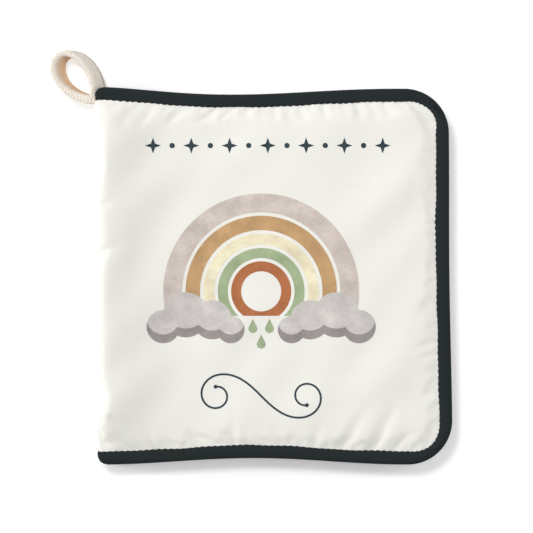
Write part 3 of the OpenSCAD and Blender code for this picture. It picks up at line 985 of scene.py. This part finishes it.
def leaf_rings(floor, thick):
    """Rings of one padded leaf, from the middle of its underside round its sewn edge to the middle of
    its upper side: [inset, height]."""
    half = thick / 2
    upper = [
        (0.0, 0.0), (0.12, 0.45), (0.5, 0.72), (1.2, 0.8), (2.4, 0.62), (2.9, 0.55),
        (3.4, 0.62), (4.6, 0.9), (7.0, 1.0), (11.0, 1.0), (14.0, 1.0),
    ]
    lower = [(i, -h) for i, h in reversed(upper[1:])]
    return [(i, floor + half + h * half) for i, h in lower + upper]


class CLOTHBOOK_OT_pages(bpy.types.Operator):
    """Adds the padded leaves between the covers, sewn together at the spine"""

    bl_idname = "clothbook.pages"
    bl_label = "Leaves"

    def execute(self, context):
        deselect()
        low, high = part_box("pages")
        gap = 0.3
        count = 4
        block = (high[2] - low[2]) / MM
        thick = (block - gap * (count - 1)) / count
        leaves = []
        for k in range(count):
            leaves.append(self.leaf(f"leaf_{k}", low, k * (thick + gap), thick, k))
        pages = joined(leaves, "soft_pages")
        add_material(pages, plain_cotton())
        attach(pages, SPINE)
        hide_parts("pages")
        return {"FINISHED"}

    def leaf(self, name, low, floor, thick, seed):
        """One leaf, its edge a little uneven, tucked in between the bound ends of the spine."""
        inset = 4.0 + 0.25 * math.sin(seed * 2.1)
        places, points, inwards = bound_edge(2.0)
        rng = np.random.default_rng(20 + seed)
        phases = rng.uniform(0, 6.28, 3)
        uneven = sum(0.13 * np.sin(places / r + p) for r, p in zip((4.0, 9.0, 23.0), phases))
        spine_x = low[0] / MM
        tuck = np.clip((spine_x + 15 - points[:, 0]) / 15, 0, 1) * 2.3
        vertices, faces, uvs = [], [], []
        rings = leaf_rings(floor, thick)
        n = len(points)
        for k, (more, height) in enumerate(rings):
            reach = inset + uneven * (1 - min(more / 14, 1)) + more
            x = np.maximum(points[:, 0] + inwards[:, 0] * reach, spine_x + min(more, 4.0) * 0.12)
            y = points[:, 1] + inwards[:, 1] * reach - np.sign(points[:, 1]) * tuck
            z = np.full(n, low[2] / MM + height)
            vertices.append(np.stack([x, y, z], 1))
            uvs.append(np.stack([x, y], 1))
            if k:
                for i in range(n):
                    j = (i + 1) % n
                    a, b = (k - 1) * n, k * n
                    faces.append((a + i, b + i, b + j, a + j))
        faces.append(tuple(range(n)))
        faces.append(tuple(reversed(range((len(rings) - 1) * n, len(rings) * n))))
        piece = new_piece(name, sway(np.concatenate(vertices)), faces, np.concatenate(uvs))
        outwards(piece)
        return piece


class CLOTHBOOK_OT_spine_stitching(bpy.types.Operator):
    """Adds the row of thick stitches down the middle of the spine"""

    bl_idname = "clothbook.spine_stitching"
    bl_label = "Spine stitching"

    def execute(self, context):
        deselect()
        low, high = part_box("spine_stitching")
        pitch = 5.0 * MM
        count = round((high[1] - low[1] + 1.5 * MM) / pitch)
        first = low[1] + 1.75 * MM
        stitches = []
        for k in range(count):
            place = sway(np.array([[low[0] / MM + 0.35, (first + k * pitch) / MM, SEAM_Z]]))[0]
            bpy.ops.mesh.primitive_uv_sphere_add(
                segments=10, ring_count=8, radius=1.0, location=place * MM,
                scale=(0.45 * MM, 1.95 * MM, 0.42 * MM),
            )
            bpy.ops.object.transform_apply(location=True, rotation=False, scale=True)
            stitches.append(context.object)
        row = joined(stitches, "spine_stitches")
        bpy.ops.object.shade_smooth()
        add_material(row, sewing_thread())
        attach(row, SPINE)
        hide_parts("spine_stitching")
        return {"FINISHED"}


# Hanging loop

LOOP_LENGTH, LOOP_ANGLE, LOOP_LEAN = 24.8, math.radians(128.5), math.radians(26.5)
# The loop's half widths on its straighter side by the head, and on its rounder side by the spine
LOOP_HALF_WIDTHS = (7.5, 8.7)
LOOP_DROP = 5.2
LOOP_TAB = 4.0
LOOP_TAPE_WIDTH, LOOP_TAPE_THICK = 10.0, 3.0


def loop_point(degrees):
    """The loop's path seen from above: a drop shape from the spine to its round end and back."""
    a = math.radians(degrees)
    along = LOOP_LENGTH * math.sin(a / 2) ** 2
    half_width = LOOP_HALF_WIDTHS[0 if degrees < 180 else 1]
    aside = half_width * math.sin(a) * math.sqrt(abs(math.sin(a / 2)))
    c, s = math.cos(LOOP_ANGLE), math.sin(LOOP_ANGLE)
    return np.array([along * c + aside * s, along * s - aside * c])


def loop_section():
    """The thick tape's section as [across, up], from the foot of its outer face over its upper edge to
    its inner face and back under: a soft flat form with round edges."""
    half_t, half_w = LOOP_TAPE_THICK / 2, LOOP_TAPE_WIDTH / 2
    edge = [
        (half_t, half_w - 1.5), (half_t - 0.08, half_w - 0.75), (half_t - 0.42, half_w - 0.2),
        (half_t * 0.4, half_w), (0.0, half_w + 0.04),
    ]
    edge += [(-x, z) for x, z in reversed(edge[:-1])]
    face = [(-half_t - 0.04, 2.4), (-half_t - 0.08, 0.8), (-half_t - 0.08, -0.8), (-half_t - 0.04, -2.4)]
    below = [(x, -z) for x, z in reversed(edge)]
    return [(-x, z) for x, z in reversed(face)] + edge + face + below


class CLOTHBOOK_OT_hanging_loop(bpy.types.Operator):
    """Adds the loop of thick cotton tape at the spine's head corner"""

    bl_idname = "clothbook.hanging_loop"
    bl_label = "Hanging loop"

    def execute(self, context):
        deselect()
        section = loop_section()
        rng = np.random.default_rng(11)
        base = np.array([SPINE_X, HALF_HEIGHT - LOOP_DROP])
        up = np.array([-math.sin(LOOP_LEAN), 0, math.cos(LOOP_LEAN)])
        stations = []
        for a in np.linspace(5, 350, 210):
            ahead = loop_point(a + 1) - loop_point(a - 1)
            stations.append((loop_point(a), ahead / np.linalg.norm(ahead)))
        # The lower end runs on into the spine
        last, heading = stations[-1]
        for share in np.linspace(0, 1, 12)[1:]:
            ahead = heading * (1 - share) + np.array([1.0, 0.0]) * share
            last = last + ahead / np.linalg.norm(ahead) * LOOP_TAB / 11
            stations.append((last, ahead / np.linalg.norm(ahead)))
        rings, uvs, run = [], [], 0.0
        for i, (place, ahead) in enumerate(stations):
            if i:
                run += np.linalg.norm(place - stations[i - 1][0])
            outer = np.array([ahead[1], -ahead[0], 0])
            # The lower leg is pressed fuller where it is sewn in
            girth = 1 + 0.35 * max(0, min(1, (i - 155) / 40))
            ring, uv, around = [], [], 0.0
            for k, (across, rise) in enumerate(section):
                fluff = rng.uniform(-0.07, 0.07)
                p = np.array([*(base + place), SEAM_Z])
                p = p + (across * girth + fluff) * outer + (rise + fluff) * up
                if k:
                    around += math.dist(section[k], section[k - 1])
                ring.append(p)
                uv.append((run, around))
            rings.append(ring)
            uvs.append(uv)
        loop = swept("cotton_loop", np.array(rings), np.array(uvs))
        add_material(loop, herringbone_cotton())
        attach(loop, SPINE)
        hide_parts("hanging_loop")
        return {"FINISHED"}


# Print

INKS = {
    "print_arch_grey": "#D0C4BC",
    "print_arch_tan": "#C49E72",
    "print_arch_cream": "#F3E3C4",
    "print_arch_sage": "#A3B48E",
    "print_arch_rust": "#B5714A",
    "print_clouds": "#CFC9C6",
    "print_cloud_shade": "#9A9391",
    "print_drops": "#A3B48E",
    "print_garland": "#36454B",
    "print_scroll": "#36454B",
}


class CLOTHBOOK_OT_prints(bpy.types.Operator):
    """Lays each printed shape on the quilted front, following its waves"""

    bl_idname = "clothbook.prints"
    bl_label = "Front print"

    def execute(self, context):
        quilted = bpy.data.objects["front_quilt"]
        ground = bmesh.new()
        ground.from_mesh(quilted.data)
        tree = BVHTree.FromBMesh(ground)
        for node, code in INKS.items():
            patch = self.laid(node, tree)
            add_material(patch, printed_ink(node.replace("print_", ""), code))
            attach(patch, FRONT)
            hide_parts(node)
        ground.free()
        return {"FINISHED"}

    def laid(self, node, tree):
        """The node's upper face, cut into small squares and dropped on the cloth."""
        source = frame["nodes"][node]
        shape = bmesh.new()
        shape.from_mesh(source.data)
        bmesh.ops.remove_doubles(shape, verts=shape.verts, dist=0.01 * MM)
        bmesh.ops.delete(shape, geom=[f for f in shape.faces if f.normal.z < 0.9], context="FACES")
        bmesh.ops.dissolve_limit(shape, angle_limit=0.01, verts=shape.verts, edges=shape.edges)
        low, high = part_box(node)
        step = 2.0 * MM
        for axis, normal in ((0, (1, 0, 0)), (1, (0, 1, 0))):
            for at in np.arange(low[axis] + step / 2, high[axis], step):
                plane = [0, 0, 0]
                plane[axis] = at
                whole = shape.verts[:] + shape.edges[:] + shape.faces[:]
                bmesh.ops.bisect_plane(shape, geom=whole, plane_co=plane, plane_no=normal, dist=1e-7)
        for vertex in shape.verts:
            hit = tree.ray_cast(Vector((vertex.co.x, vertex.co.y, 0.1)), Vector((0, 0, -1)))[0]
            vertex.co.z = hit.z + 0.05 * MM
        made = bmesh.ops.extrude_face_region(shape, geom=shape.faces[:])
        for vertex in (v for v in made["geom"] if isinstance(v, bmesh.types.BMVert)):
            vertex.co.z -= 0.12 * MM
        bmesh.ops.recalc_face_normals(shape, faces=shape.faces)
        mesh = bpy.data.meshes.new(node + "_ink")
        shape.to_mesh(mesh)
        shape.free()
        patch = bpy.data.objects.new(node + "_ink", mesh)
        bpy.context.collection.objects.link(patch)
        return patch


# Panel

OPERATORS = (
    CLOTHBOOK_OT_quilts,
    CLOTHBOOK_OT_bindings,
    CLOTHBOOK_OT_pages,
    CLOTHBOOK_OT_spine_stitching,
    CLOTHBOOK_OT_hanging_loop,
    CLOTHBOOK_OT_prints,
    CLOTHBOOK_OT_stage,
)


class CLOTHBOOK_PT_panel(bpy.types.Panel):
    """The book's pieces, sizes and colours"""

    bl_idname = "CLOTHBOOK_PT_panel"
    bl_label = "Cloth Book"
    bl_space_type = "VIEW_3D"
    bl_region_type = "UI"
    bl_category = "Cloth Book"

    def draw(self, context):
        for group in (sizes(), colours()):
            box = self.layout.box()
            for name in group.bl_rna.properties.keys():
                if name not in ("rna_type", "name"):
                    box.prop(group, name)
        for operator in OPERATORS:
            self.layout.operator(operator.bl_idname)


CLASSES = (ClothBookSizes, ClothBookColours, *OPERATORS, CLOTHBOOK_PT_panel)


def register():
    for made in CLASSES:
        bpy.utils.register_class(made)
    bpy.types.Scene.cloth_book_sizes = bpy.props.PointerProperty(type=ClothBookSizes)
    bpy.types.Scene.cloth_book_colours = bpy.props.PointerProperty(type=ClothBookColours)


def unregister():
    del bpy.types.Scene.cloth_book_colours
    del bpy.types.Scene.cloth_book_sizes
    for made in reversed(CLASSES):
        bpy.utils.unregister_class(made)


def main():
    register()
    bpy.ops.clothbook.quilts()
    bpy.ops.clothbook.bindings()
    bpy.ops.clothbook.pages()
    bpy.ops.clothbook.spine_stitching()
    bpy.ops.clothbook.hanging_loop()
    bpy.ops.clothbook.prints()
    bpy.ops.clothbook.stage()


if __name__ == "__main__":
    main()
